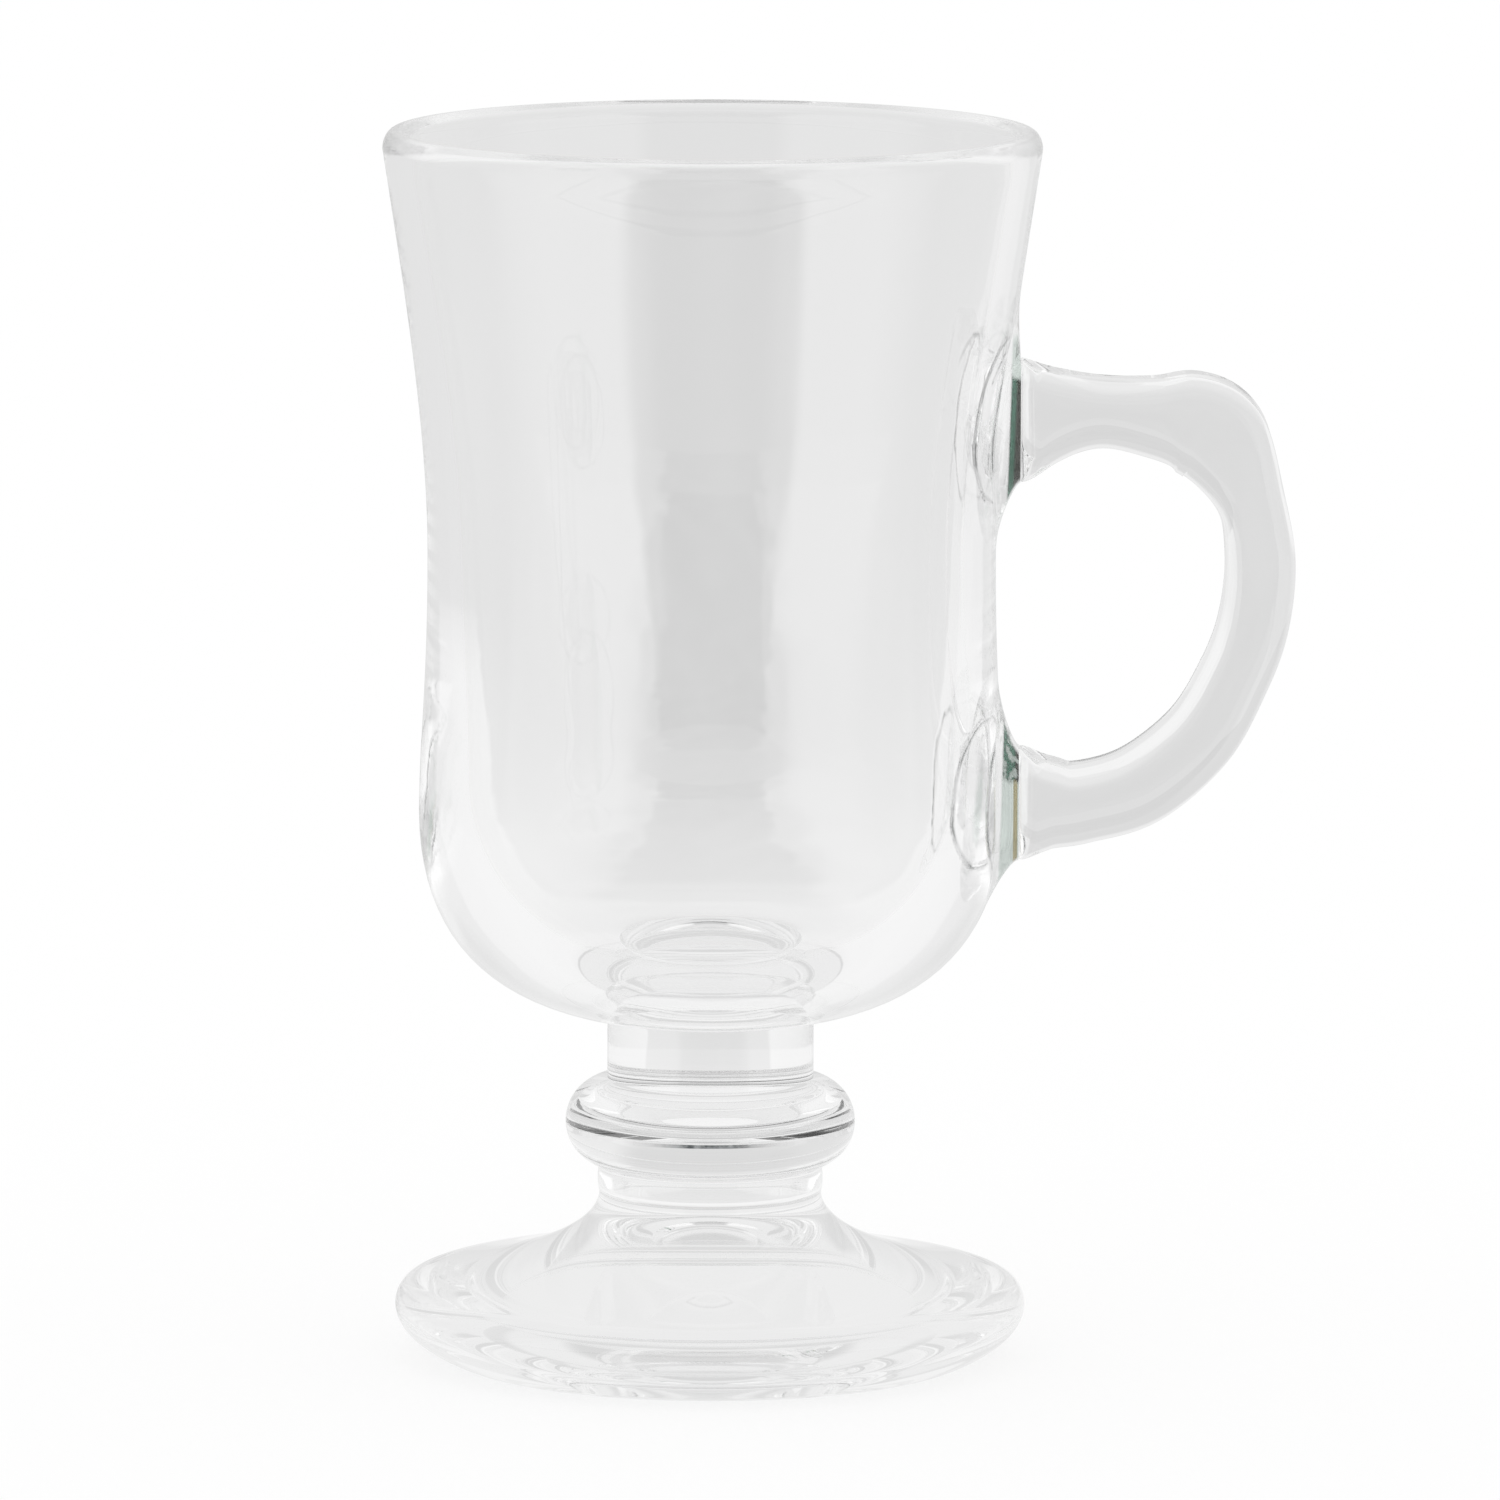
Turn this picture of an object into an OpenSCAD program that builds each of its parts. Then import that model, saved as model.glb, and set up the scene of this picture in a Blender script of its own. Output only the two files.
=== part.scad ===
// Footed glass mug for Irish coffee: a flared bowl on a short stem with a knop, a round foot and an
// ear-shaped side handle. The pieces are pressed glass, fused to each other while hot.
// Millimetres, +Z up, origin on the table at the middle of the foot, handle towards +X.

/* [Bowl] */
// Height of the bowl, from its underside to the top of the lip
bowl_h = 103.3; // [96:0.5:116]
// Radius of the rim at its widest
rim_r = 38.1; // [35.5:0.1:42]
// Height of the widest ring of the rim below the top of the lip
rim_drop = 2.2; // [1.5:0.1:4]
// Height below the rim over which the wall leans straight outwards
lean_h = 14.5; // [8:0.5:20]
// How far the wall leans outwards over that height
lean_r = 2.2; // [1:0.1:3]
// Radius of the waist, the narrowest ring of the bowl
waist_r = 32.9; // [31:0.1:34]
// Height of the waist above the underside of the bowl
waist_z = 54; // [49:0.5:60]
// Radius of the belly, the widest ring below the waist
belly_r = 33.9; // [32:0.1:36]
// Height of the belly above the underside of the bowl
belly_z = 24; // [20:0.5:28]
// Radius of the flat middle of the bowl's underside
base_r = 13.5; // [12.5:0.1:18]
// Thickness of the lip
lip_t = 3.1; // [2.2:0.1:4]
// Thickness of the wall at the waist
wall_t = 3.9; // [2.5:0.1:5]
// Draft of the cavity, how much narrower it is at the belly than at the waist
cavity_draft = 0.5; // [0:0.1:1.5]
// Height by which the straight stretch of the cavity stays short of the belly and of the waist
cavity_inset = 4; // [1:0.5:8]
// Thickness of the glass under the middle of the cavity
floor_t = 6; // [4:0.5:10]
// Radius of the flat middle of the cavity floor
floor_r = 8; // [5:0.5:16]

/* [Stem] */
// Radius of the collar under the bowl
collar_r = 12; // [10:0.1:12.4]
// Height of the collar
collar_h = 7.3; // [4:0.1:12]
// Radius of the knop at its seam
knop_r = 16.85; // [15:0.05:20]
// Radius of the knop's rounded edge, half of the knop's height
knop_edge_r = 5.2; // [4:0.1:7]
// Depth of the seam round the middle of the knop
seam_d = 0.25; // [0.1:0.05:1]
// Width of the seam on each half of the knop
seam_w = 0.12; // [0.1:0.02:0.5]

/* [Foot] */
// Height of the foot, from the table to the underside of the knop
foot_h = 22.3; // [18:0.1:30]
// Radius of the foot's neck under the knop
neck_r = 12.9; // [11:0.1:14.5]
// Height of the round ring at the top of the neck
neck_ring_h = 3; // [2:0.1:4]
// How far the ring of the neck stands out
neck_ring_d = 0.2; // [0.1:0.05:0.8]
// Radius of the foot at its edge
foot_r = 36.7; // [33:0.1:42]
// Height of the widest ring of the foot's edge
edge_z = 6; // [4:0.1:7]
// Height at which the upper face of the foot turns into its edge
brim_z = 9.1; // [8:0.1:11]
// Radius of the upper face of the foot, inside its rounded edge
brim_r = 34.3; // [30:0.1:35.5]
// Outer radius of the ring that the mug stands on
stand_r = 30.5; // [27:0.1:32]
// Width of the ring that the mug stands on
stand_w = 3.5; // [2:0.1:6]
// Thickness of the glass between the top of the hollow under the foot and the knop
hollow_top_t = 6.3; // [5:0.1:15]

/* [Handle] */
// Depth of the upper arm's root below the top of the lip
upper_arm_drop = 33.6; // [28:0.1:41]
// Height of the lower arm's root above the underside of the bowl
lower_arm_z = 25; // [22:0.2:32]
// Reach of the handle, from its root plane to the outside of the grip
handle_reach = 31.8; // [27:0.1:40]
// Depth of the handle, from front to back
handle_depth = 11.5; // [9:0.1:14]
// Radius of the handle's long edges
handle_edge_r = 2.4; // [1:0.1:3.2]
// Radius of the front and back edges at the two ends of the handle
handle_end_r = 2; // [0.6:0.1:2.4]
// Thickness of the upper arm at its root
upper_root_t = 14.4; // [12:0.1:17]
// Thickness of the upper arm at its saddle
saddle_t = 7.8; // [6.8:0.1:10]
// Thickness of the handle under the thumb rest
thumb_t = 11.5; // [9:0.1:13]
// Thickness of the grip at its outermost point
grip_t = 8; // [6.8:0.1:11]
// Thickness of the lower arm
lower_arm_t = 8.8; // [7:0.1:11]
// Thickness of the lower arm at its root
lower_root_t = 13.2; // [12:0.1:16]

/* [Handle pads] */
// Thickness of the pads between the widest wall that they meet and the root plane of the handle
pad_t = 1.8; // [1.6:0.1:4]
// Height that a pad spreads on the wall above and below the handle's end
pad_spread_z = 7.5; // [3:0.1:8]
// Half of the pad's width on the wall
pad_wall_y = 8.5; // [7.6:0.1:11]

/* [Hidden] */
$fn = 192;

glass = [0.86, 0.92, 0.9, 0.45];
seam_glass = [0.78, 0.86, 0.84, 0.5];
pad_glass = [0.5, 0.66, 0.6, 0.6];

// Heights of the joints between the stacked pieces
seam_z = foot_h + knop_edge_r;
collar_z = seam_z + knop_edge_r;
bowl_z = collar_z + collar_h;
lip_z = bowl_z + bowl_h;
rim_z = lip_z - rim_drop;
knop_core_r = knop_r - knop_edge_r;
// Height of the upper arm's root above the underside of the bowl
upper_arm_z = bowl_h - upper_arm_drop;

// Steps along one curve of an outline, along one rounded corner, and between two stations of the handle
curve_steps = 12;
corner_steps = 4;
line_steps = 4;
// Steps beside each root of the handle, where its edges are rounded
root_steps = 12;
pad_rings = 6;
pad_sides = 28;
// How far the rim and the middle of a pad run into the wall before they are cut to it
pad_sink = 0.4;
pad_core = 1.4;
// Height of bare wall that is left between the two pads at least
pad_apart = 1;

// Pulls of the curves: lengths of their handles as shares of the height or width that each curve spans
base_pull = [0.59, 0.09];
belly_pull_down = 0.62;
belly_pull_up = 0.27;
waist_pull_down = 0.52;
waist_pull_up = 0.32;
cavity_waist_pull = 0.36;
cavity_belly_pull = 0.68;
cavity_floor_pull = 0.55;
neck_pull = 0.36;
flare_pull = [0.3, 0.245];
brim_pull = [0.6, 0.1];
edge_pull_up = 0.5;
edge_pull_down = 0.35;
stand_pull = [0.66, 0.27];
hollow_edge_pull = [0.94, 0.25];
hollow_top_pull = 0.3;
pad_end_pull = 0.3;
pad_end_lift = 0.05;
pad_wall_pull = 0.35;

// Point at share t of a cubic curve from a to d with the handles b and c
function curve_point(a, b, c, d, t) =
    let (u = 1 - t)
        u * u * u * a + 3 * u * u * t * b + 3 * u * t * t * c + t * t * t * d;

// Points of such a curve, without the last one
function curve(a, b, c, d) = [for (i = [0 : curve_steps - 1]) curve_point(a, b, c, d, i / curve_steps)];

// Points of a quarter or half round, from angle a0 to a1
function arc(centre, rx, rz, a0, a1, n) = [
    for (i = [0 : n]) let (a = a0 + (a1 - a0) * i / n) centre + [rx * cos(a), rz * sin(a)]
];

// Outside of the bowl from the edge of its flat underside up to the rim
belly_at = [belly_r, bowl_z + belly_z];
waist_at = [waist_r, bowl_z + waist_z];
rim_at = [rim_r, rim_z];
rim_lean = [lean_r, lean_h];
bowl_outside = concat(
    curve([base_r, bowl_z], [base_r + base_pull.x * (belly_r - base_r), bowl_z + base_pull.y * belly_z],
          belly_at - [0, belly_pull_down * belly_z], belly_at),
    curve(belly_at, belly_at + [0, belly_pull_up * (waist_z - belly_z)],
          waist_at - [0, waist_pull_down * (waist_z - belly_z)], waist_at),
    curve(waist_at, waist_at + [0, waist_pull_up * (rim_z - waist_at.y)], rim_at - rim_lean, rim_at),
    [rim_at]);

// Radius of the bowl's outside at a height above the table
function bowl_r(z) = lookup(z, [for (p = bowl_outside) [p.y, p.x]]);

// Inside of the bowl from the lip down to the middle of its floor
lip_mid = [rim_r - lip_t / 2, rim_z];
cavity_rim = [rim_r - lip_t, rim_z];
cavity_waist = [waist_r - wall_t, waist_at.y - cavity_inset];
cavity_belly = [cavity_waist.x - cavity_draft, belly_at.y + cavity_inset];
cavity_floor = [floor_r, bowl_z + floor_t];
bowl_inside = concat(
    curve(cavity_rim, cavity_rim - rim_lean, cavity_waist + [0, cavity_waist_pull * (rim_z - cavity_waist.y)],
          cavity_waist),
    curve(cavity_belly, cavity_belly - [0, cavity_belly_pull * (cavity_belly.y - cavity_floor.y)],
          cavity_floor + [cavity_floor_pull * (cavity_belly.x - floor_r), 0], cavity_floor),
    [cavity_floor, [0, cavity_floor.y]]);

// Upper face, edge and hollow of the foot, from the neck down to the middle
neck_foot_z = foot_h - neck_ring_h;
brim_at = [brim_r, brim_z];
edge_at = [foot_r, edge_z];
stand_at = [stand_r, 0];
hollow_r = stand_r - stand_w;
hollow_h = foot_h - hollow_top_t;
foot_outline = concat(
    [[0, foot_h]],
    arc([neck_r, foot_h - neck_ring_h / 2], neck_ring_d, neck_ring_h / 2, 90, -90, 2 * corner_steps),
    curve([neck_r, neck_foot_z], [neck_r, neck_foot_z - neck_pull * (neck_foot_z - brim_z)],
          [neck_r + flare_pull.x * (brim_r - neck_r), brim_z + flare_pull.y * (neck_foot_z - brim_z)],
          brim_at),
    curve(brim_at, [brim_r + brim_pull.x * (foot_r - brim_r), brim_z - brim_pull.y * (brim_z - edge_z)],
          [foot_r, edge_z + edge_pull_up * (brim_z - edge_z)], edge_at),
    curve(edge_at, [foot_r, edge_z - edge_pull_down * edge_z],
          [stand_r + stand_pull.x * (foot_r - stand_r), stand_pull.y * edge_z], stand_at),
    [stand_at],
    curve([hollow_r, 0], [hollow_edge_pull.x * hollow_r, hollow_edge_pull.y * hollow_h],
          [hollow_top_pull * hollow_r, hollow_h], [0, hollow_h]),
    [[0, hollow_h]]);

// Middle line of the handle from the upper root to the lower one, in the XZ plane
root_x = pad_t + max(bowl_r(bowl_z + upper_arm_z), bowl_r(bowl_z + lower_arm_z));
line_x = handle_reach - grip_t / 2;
line_z = upper_arm_z - lower_arm_z;
// Each station: share of the reach, share of the height between the roots, thickness there
handle_stations = [
    [0, 1, upper_root_t],
    [0.16, 1.018, (upper_root_t + 2 * saddle_t) / 3],
    [0.345, 1.022, saddle_t],
    [0.555, 1.009, (2 * saddle_t + thumb_t) / 3],
    [0.71, 0.995, thumb_t],
    [0.835, 0.945, thumb_t],
    [0.955, 0.8, grip_t],
    [1, 0.637, grip_t],
    [0.973, 0.472, grip_t],
    [0.892, 0.331, grip_t],
    [0.747, 0.175, (grip_t + lower_arm_t) / 2],
    [0.506, 0.049, lower_arm_t],
    [0.26, 0.002, lower_arm_t],
    [0.12, 0, (lower_root_t + 2 * lower_arm_t) / 3],
    [0, 0, lower_root_t]
];
last_station = len(handle_stations) - 1;

// A station as place and thickness, with one more beyond each root, where the flare goes on
function station(i) =
    i < 0 ? beyond(station(0), station(1)) :
    i > last_station ? beyond(station(last_station), station(last_station - 1)) :
    let (s = handle_stations[i])
        [root_x + s[0] * line_x, bowl_z + lower_arm_z + s[1] * line_z, s[2]];
function beyond(root, next) = [2 * root[0] - next[0], next[1], 2 * root[2] - next[2]];

// A smooth line through the stations: the point at share t between station i and the next
function on_line(i, t) =
    let (p = station(i - 1), a = station(i), b = station(i + 1), q = station(i + 2))
        0.5 * (2 * a + (b - p) * t + (2 * p - 5 * a + 4 * b - q) * t * t
               + (3 * a - p - 3 * b + q) * t * t * t);

function steps_after(i) = i == 0 || i == last_station - 1 ? root_steps : line_steps;
handle_line = concat(
    [for (i = [0 : last_station - 1], k = [0 : steps_after(i) - 1]) on_line(i, k / steps_after(i))],
    [station(last_station)]);
line_count = len(handle_line);

// Direction square to the handle's line at one of its points, towards its outer side
function normal(i) =
    let (a = handle_line[i - 1], b = handle_line[i + 1], d = [b.x - a.x, b.y - a.y])
        [-d.y, d.x] / norm(d);

// Direction across the handle: square to its line, and turning evenly to upright towards each root
function across(i) =
    let (to_root = min(i, line_count - 1 - i), first = i < line_count / 2)
    let (beside = first ? root_steps : line_count - 1 - root_steps, root = first ? [0, 1] : [0, -1])
    let (d = root + to_root / root_steps * (normal(beside) - root))
        to_root < root_steps ? d / norm(d) : normal(i);

// Rounded rectangle across the handle: pairs of distance across and distance in depth
function section(t, depth, edge_r) =
    let (r = min(edge_r, 0.49 * t, 0.49 * depth)) [
        for (corner = [[1, 1, 0], [-1, 1, 90], [-1, -1, 180], [1, -1, 270]], k = [0 : corner_steps])
            let (a = corner[2] + 90 * k / corner_steps)
                [corner[0] * (t / 2 - r) + r * cos(a), corner[1] * (depth / 2 - r) + r * sin(a)]
    ];

// How far the front and back of the handle are drawn in at a place, to round the edges of its two ends
function end_inset(x) =
    let (in_round = max(handle_end_r - (x - root_x), 0))
        handle_end_r - sqrt(pow(handle_end_r, 2) - pow(in_round, 2));

// A ring of points round the handle at a point of its line
function handle_ring(i) =
    let (p = handle_line[i], dir = across(i), inset = end_inset(p.x)) [
        for (s = section(p[2], handle_depth - 2 * inset, handle_edge_r + inset))
            [p.x + dir.x * s.x, s.y, p.y + dir.y * s.x]
    ];
end_face_y = handle_depth / 2 - handle_end_r;

// Closed skin through rings of as many points each, which run clockwise as seen from the first ring's side
module skin(rings) {
    sides = len(rings[0]);
    last = len(rings) - 1;
    polyhedron(
        points = [for (ring = rings) each ring],
        faces = concat(
            [[for (k = [0 : sides - 1]) k]],
            [for (i = [0 : last - 1], k = [0 : sides - 1])
                let (a = i * sides + k, b = i * sides + (k + 1) % sides)
                    each [[a, a + sides, b], [b, a + sides, b + sides]]],
            [[for (k = [sides - 1 : -1 : 0]) last * sides + k]]));
}

// The bowl without its cavity, which the pads are cut to
module bowl_blank() {
    rotate_extrude()
        polygon(concat([[0, bowl_z]], bowl_outside, [[0, rim_z]]));
}

// A place on the outside of the bowl, or sunk in it, at a distance from the middle plane and a height
function on_wall(y, z, sink = 0) = [sqrt(pow(bowl_r(z), 2) - y * y) - sink, y, z];

// A pad from the end of the handle, where it is t high, spreading in a hollow sweep over the wall of the bowl
module handle_pad(mid_z, t) {
    bare_z = upper_arm_z - lower_arm_z - (upper_root_t + lower_root_t) / 2;
    wall_half_z = t / 2 + min(pad_spread_z, (bare_z - pad_apart) / 2);
    heights = [mid_z - wall_half_z, mid_z, mid_z + wall_half_z];
    inner_x = min([for (z = heights) on_wall(pad_wall_y, z, pad_core).x]);
    end_ring = [
        for (k = [0 : pad_sides - 1])
            let (a = -360 * k / pad_sides)
                [root_x, end_face_y * blunt(cos(a)), mid_z + t / 2 * blunt(sin(a))]
    ];
    wall_ring = [
        for (k = [0 : pad_sides - 1])
            let (a = -360 * k / pad_sides)
                on_wall(pad_wall_y * cos(a), mid_z + wall_half_z * sin(a), pad_sink)
    ];
    sweep = [
        for (i = [0 : pad_rings])
            [for (k = [0 : pad_sides - 1])
                let (e = end_ring[k], w = wall_ring[k], d = w - e, near = w - pad_wall_pull * d)
                let (b = e + [pad_end_pull * d.x, pad_end_lift * d.y, pad_end_lift * d.z])
                    curve_point(e, b, on_wall(near.y, near.z), w, i / pad_rings)]
    ];
    color(pad_glass)
        difference() {
            skin(concat(sweep, [[for (w = wall_ring) [inner_x, w.y, w.z]]]));
            bowl_blank();
        }
}

// Share of a rounded rectangle's half width at a share of the circle's, with the same sign
function blunt(c) = sign(c) * sqrt(abs(c));

module bowl() {
    lip = arc(lip_mid, lip_t / 2, rim_drop, 0, 180, 3 * corner_steps);
    color(glass)
        rotate_extrude()
            polygon(concat([[0, bowl_z]], bowl_outside, [for (i = [1 : len(lip) - 2]) lip[i]], bowl_inside));
}

module stem_collar() {
    color(glass)
        translate([0, 0, collar_z])
            cylinder(r = collar_r, h = collar_h);
}

// One half of the knop, above its seam; the other half is its mirror image
module knop_half() {
    edge = arc([knop_core_r, 0], knop_edge_r, knop_edge_r, asin(seam_w / knop_edge_r), 90, 3 * corner_steps);
    rotate_extrude()
        polygon(concat([[0, 0], [knop_r - seam_d, 0]], edge, [[0, knop_edge_r]]));
}

module knop_upper() {
    color(seam_glass)
        translate([0, 0, seam_z])
            knop_half();
}

module knop_lower() {
    color(seam_glass)
        translate([0, 0, seam_z])
            mirror([0, 0, 1])
                knop_half();
}

module foot() {
    color(glass)
        rotate_extrude()
            polygon(foot_outline);
}

module handle() {
    color(glass)
        skin([for (i = [line_count - 1 : -1 : 0]) handle_ring(i)]);
}

module upper_handle_pad() {
    handle_pad(bowl_z + upper_arm_z, upper_root_t);
}

module lower_handle_pad() {
    handle_pad(bowl_z + lower_arm_z, lower_root_t);
}

bowl();
stem_collar();
knop_upper();
knop_lower();
foot();
handle();
upper_handle_pad();
lower_handle_pad();
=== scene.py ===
import math

import bmesh
import bpy
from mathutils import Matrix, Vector


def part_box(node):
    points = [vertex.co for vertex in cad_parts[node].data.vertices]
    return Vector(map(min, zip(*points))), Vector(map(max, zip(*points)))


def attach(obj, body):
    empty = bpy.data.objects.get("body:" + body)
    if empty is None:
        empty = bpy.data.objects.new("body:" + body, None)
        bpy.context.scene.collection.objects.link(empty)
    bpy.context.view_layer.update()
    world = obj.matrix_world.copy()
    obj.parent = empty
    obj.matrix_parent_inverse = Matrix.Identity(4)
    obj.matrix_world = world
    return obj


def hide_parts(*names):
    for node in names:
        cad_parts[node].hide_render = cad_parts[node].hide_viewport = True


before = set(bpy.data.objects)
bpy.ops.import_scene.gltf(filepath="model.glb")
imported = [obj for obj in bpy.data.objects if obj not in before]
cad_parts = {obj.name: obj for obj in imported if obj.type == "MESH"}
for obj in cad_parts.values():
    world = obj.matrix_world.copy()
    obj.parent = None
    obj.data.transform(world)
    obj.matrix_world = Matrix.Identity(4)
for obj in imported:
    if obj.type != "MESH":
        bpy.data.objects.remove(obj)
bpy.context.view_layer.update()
mm = 0.001
touch = 0.01                # mm within which faces count as on one level
mergeGap = 0.002            # mm within which corners become one
fineMergeGap = 0.0005
print("frame loaded:", sorted(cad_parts))


# small helpers

def hexColour(code):
    # sRGB hex to linear
    channels = [int(code[i:i + 2], 16) / 255 for i in (1, 3, 5)]
    linear = [c / 12.92 if c <= 0.04045 else ((c + 0.055) / 1.055) ** 2.4 for c in channels]
    return (*linear, 1.0)


def addNode(tree, kind, inputs=None, **settings):
    # a node with its settings and links: an input is a value, an output, or a node, for its first live output
    # Map Range takes value, from low, from high, to low, to high; Mix takes numbers as 2, 3, colours as 6, 7
    node = tree.nodes.new("ShaderNode" + kind)
    for name, value in settings.items():
        setattr(node, name, value)
    for name, value in (inputs or {}).items():
        if isinstance(value, bpy.types.Node):
            value = [output for output in value.outputs if output.enabled][0]
        if isinstance(value, bpy.types.NodeSocket):
            tree.links.new(value, node.inputs[name])
        else:
            node.inputs[name].default_value = value
    return node


def newMaterial(name):
    material = bpy.data.materials.new(name)
    material.use_nodes = True
    material.node_tree.nodes.clear()
    return material, material.node_tree


def curvePoints(start, startHandle, endHandle, end, steps):
    # points of a cubic curve, without the last one
    points = []
    for i in range(steps):
        t = i / steps
        u = 1 - t
        weights = (u * u * u, 3 * u * u * t, 3 * u * t * t, t * t * t)
        corners = (start, startHandle, endHandle, end)
        points.append(tuple(sum(w * c[k] for w, c in zip(weights, corners)) for k in (0, 1)))
    return points


def arcPoints(centre, radiusR, radiusZ, fromDeg, toDeg, steps):
    angles = [math.radians(fromDeg + (toDeg - fromDeg) * i / steps) for i in range(steps + 1)]
    return [(centre[0] + radiusR * math.cos(a), centre[1] + radiusZ * math.sin(a)) for a in angles]


def spinPiece(name, outline, sides=192):
    # draws the half outline (radius, height, in mm) by extruding one vertex, then spins it round the axis
    bpy.ops.object.select_all(action="DESELECT")
    bpy.ops.mesh.primitive_plane_add(size=2 * mm)
    piece = bpy.context.object
    piece.name = piece.data.name = name
    bpy.ops.object.mode_set(mode="EDIT")
    bpy.ops.mesh.select_mode(type="VERT")
    bpy.ops.mesh.merge(type="CENTER")
    bpy.ops.transform.translate(value=(outline[0][0] * mm, 0, outline[0][1] * mm))
    for here, there in zip(outline, outline[1:]):
        step = ((there[0] - here[0]) * mm, 0, (there[1] - here[1]) * mm)
        bpy.ops.mesh.extrude_vertices_move(TRANSFORM_OT_translate={"value": step})
    bpy.ops.mesh.select_all(action="SELECT")
    bpy.ops.mesh.spin(steps=sides, angle=2 * math.pi, center=(0, 0, 0), axis=(0, 0, 1))
    bpy.ops.mesh.select_all(action="SELECT")
    bpy.ops.mesh.remove_doubles(threshold=mergeGap * mm)
    bpy.ops.mesh.normals_make_consistent(inside=False)
    bpy.ops.object.mode_set(mode="OBJECT")
    return piece


def placeCap(piece, oldRing, newRing):
    # moves the selected end face's corners from one ring to the next
    edit = bmesh.from_edit_mesh(piece.data)
    cap = [face for face in edit.faces if face.select][0]
    for corner in list(cap.verts):
        nearest = min(range(len(oldRing)), key=lambda k: (corner.co - oldRing[k]).length_squared)
        corner.co = newRing[nearest]
    bmesh.update_edit_mesh(piece.data)


def ringPiece(name, rings):
    # extrudes a round end face from ring to ring (points in metres)
    sides = len(rings[0])
    bpy.ops.object.select_all(action="DESELECT")
    bpy.ops.mesh.primitive_circle_add(vertices=sides, radius=mm, fill_type="NGON")
    piece = bpy.context.object
    piece.name = piece.data.name = name
    for corner, place in zip(piece.data.vertices, rings[0]):
        corner.co = place
    bpy.ops.object.mode_set(mode="EDIT")
    bpy.ops.mesh.select_mode(type="FACE")
    bpy.ops.mesh.select_all(action="SELECT")
    for old, new in zip(rings, rings[1:]):
        bpy.ops.mesh.extrude_region_move()
        placeCap(piece, old, new)
    bpy.ops.mesh.select_all(action="SELECT")
    bpy.ops.mesh.remove_doubles(threshold=fineMergeGap * mm)
    bpy.ops.mesh.normals_make_consistent(inside=False)
    bpy.ops.object.mode_set(mode="OBJECT")
    return piece


def finishPiece(piece, node, materials, smoothDeg=35, evenNormals=False):
    # smooth shading, materials, and the piece's place in the frame
    bpy.ops.object.select_all(action="DESELECT")
    piece.select_set(True)
    bpy.context.view_layer.objects.active = piece
    bpy.ops.object.shade_smooth_by_angle(angle=math.radians(smoothDeg))
    if evenNormals:
        even = piece.modifiers.new("flat faces stay flat", "WEIGHTED_NORMAL")
        even.keep_sharp = True
        bpy.ops.object.modifier_apply(modifier=even.name)
    for material in materials:
        piece.data.materials.append(material)
    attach(piece, "root")
    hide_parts(node)
    print(node, "made:", len(piece.data.polygons), "faces")


def isLevel(face):
    return abs(face.normal.z) > 0.99


def isUpright(face):
    return abs(face.normal.z) < 0.5


def markFaces(piece, slot, isMarked):
    # gives some faces the material in another slot
    for face in piece.data.polygons:
        if isMarked(face):
            face.material_index = slot


# places that come from the frame, in mm

handleRoots = {"upper": 69.7, "lower": 25.0}    # above the underside of the bowl
bowlLow, bowlHigh = (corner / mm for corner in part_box("bowl"))
bowlZ, rimR = bowlLow.z, bowlHigh.y
collarR = (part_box("stem_collar")[1] / mm).y
rootX = (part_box("handle")[0] / mm).x
upperZ, lowerZ = bowlZ + handleRoots["upper"], bowlZ + handleRoots["lower"]


# glass

glassLook = {
    "ior": 1.52,            # soda-lime glass
    "clear": "#FEFEFE",
    "streakWidth": 3.0,     # mm between the faint upright streaks that the plunger leaves in the bowl
    "streakLength": 50.0,
    "streakR": 33.0,        # radius at which they are that wide
    "streakDepth": 0.004,
    "waveWidth": 9.0,       # mm between soft waves that the mould leaves
    "waveDepth": 0.012,
    "stemWaveDepth": 0.006,
}
weldLook = {
    "halfZ": 9.6,           # mm, half the height of the ovals where the handle's ends were pressed on
    "wrinkleWidth": 4.0,
    "wrinkleDepth": 0.015,
    "wrinkleEdge": 0.85,    # share of the oval past which the wrinkles fade
    "grooveWidth": 0.08,    # share of the oval
    "grooveDepth": 0.08,
    "outline": "#3A3F3C",   # painted shade: a grey line along the edge of a weld
    "shadeLineWidth": 0.6,
    "shadeLineFaint": 0.5,    # strength of that painted shade where it is faint
    "uneven": 0.1,          # share of its size by which the oval wobbles
    "outerR": (30.8, 31.2),     # the marks lie outside this radius, on the handle's side
    "outerX": (18, 20),
    "green": "#143224",     # iron in the glass shows where light goes a long way through it
    # painted shade, nearly black, by the handle
    "dark": "#141512",
    # grey painted shade past the green stretch, also in blotches in the green
    "pale": "#B4C4BB",
    "shadeSide": (0.5, 0.85),    # mm from the handle's end, where the nearly black painted shade turns to green
    "lean": 0.03,           # how much further out the green lies for each mm of height
    "slant": 0.6,           # how much its ends slant
    "endFade": 0.8,         # mm over which its ends fade
    "mottle": 1.5,          # mm between the steps of its ragged ends, and their height
    "ragged": 1.5,
    "blotch": 0.9,          # mm between the blotches in the green
    "streakFrom": 0.15,     # mm from the handle's end to a thin streak, its width and its soft edge
    "streakWidth": 0.6,
    "streakEdge": 0.1,
    "tintFrom": (0.03, 0.08),   # the end face, which the handle covers, stays clear
    "neckEdge": 0.3,
    "flankY": (-3.0, -2.0),     # only the front flank is tinted
    "farZ": (9.5, 11.0),        # and nothing far above or below the handle's end
}
upperWeldLook = {
    "halfY": 9.3,           # mm, half the width of the oval
    "neck": 1.5,            # mm of neck beside the handle's end that is tinted
    "darkFrom": -11.0,      # mm above the middle of the weld
    "darkTo": 5.5,
    "streak": "#B4C4BB",
    "blotchy": 0.0,
}
lowerWeldLook = {
    "halfY": 11.5,
    "neck": 2.3,
    "darkFrom": 2.0,
    "darkTo": 9.5,
    "streak": "#7A7046",
    "blotchy": 0.4,
}
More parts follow.
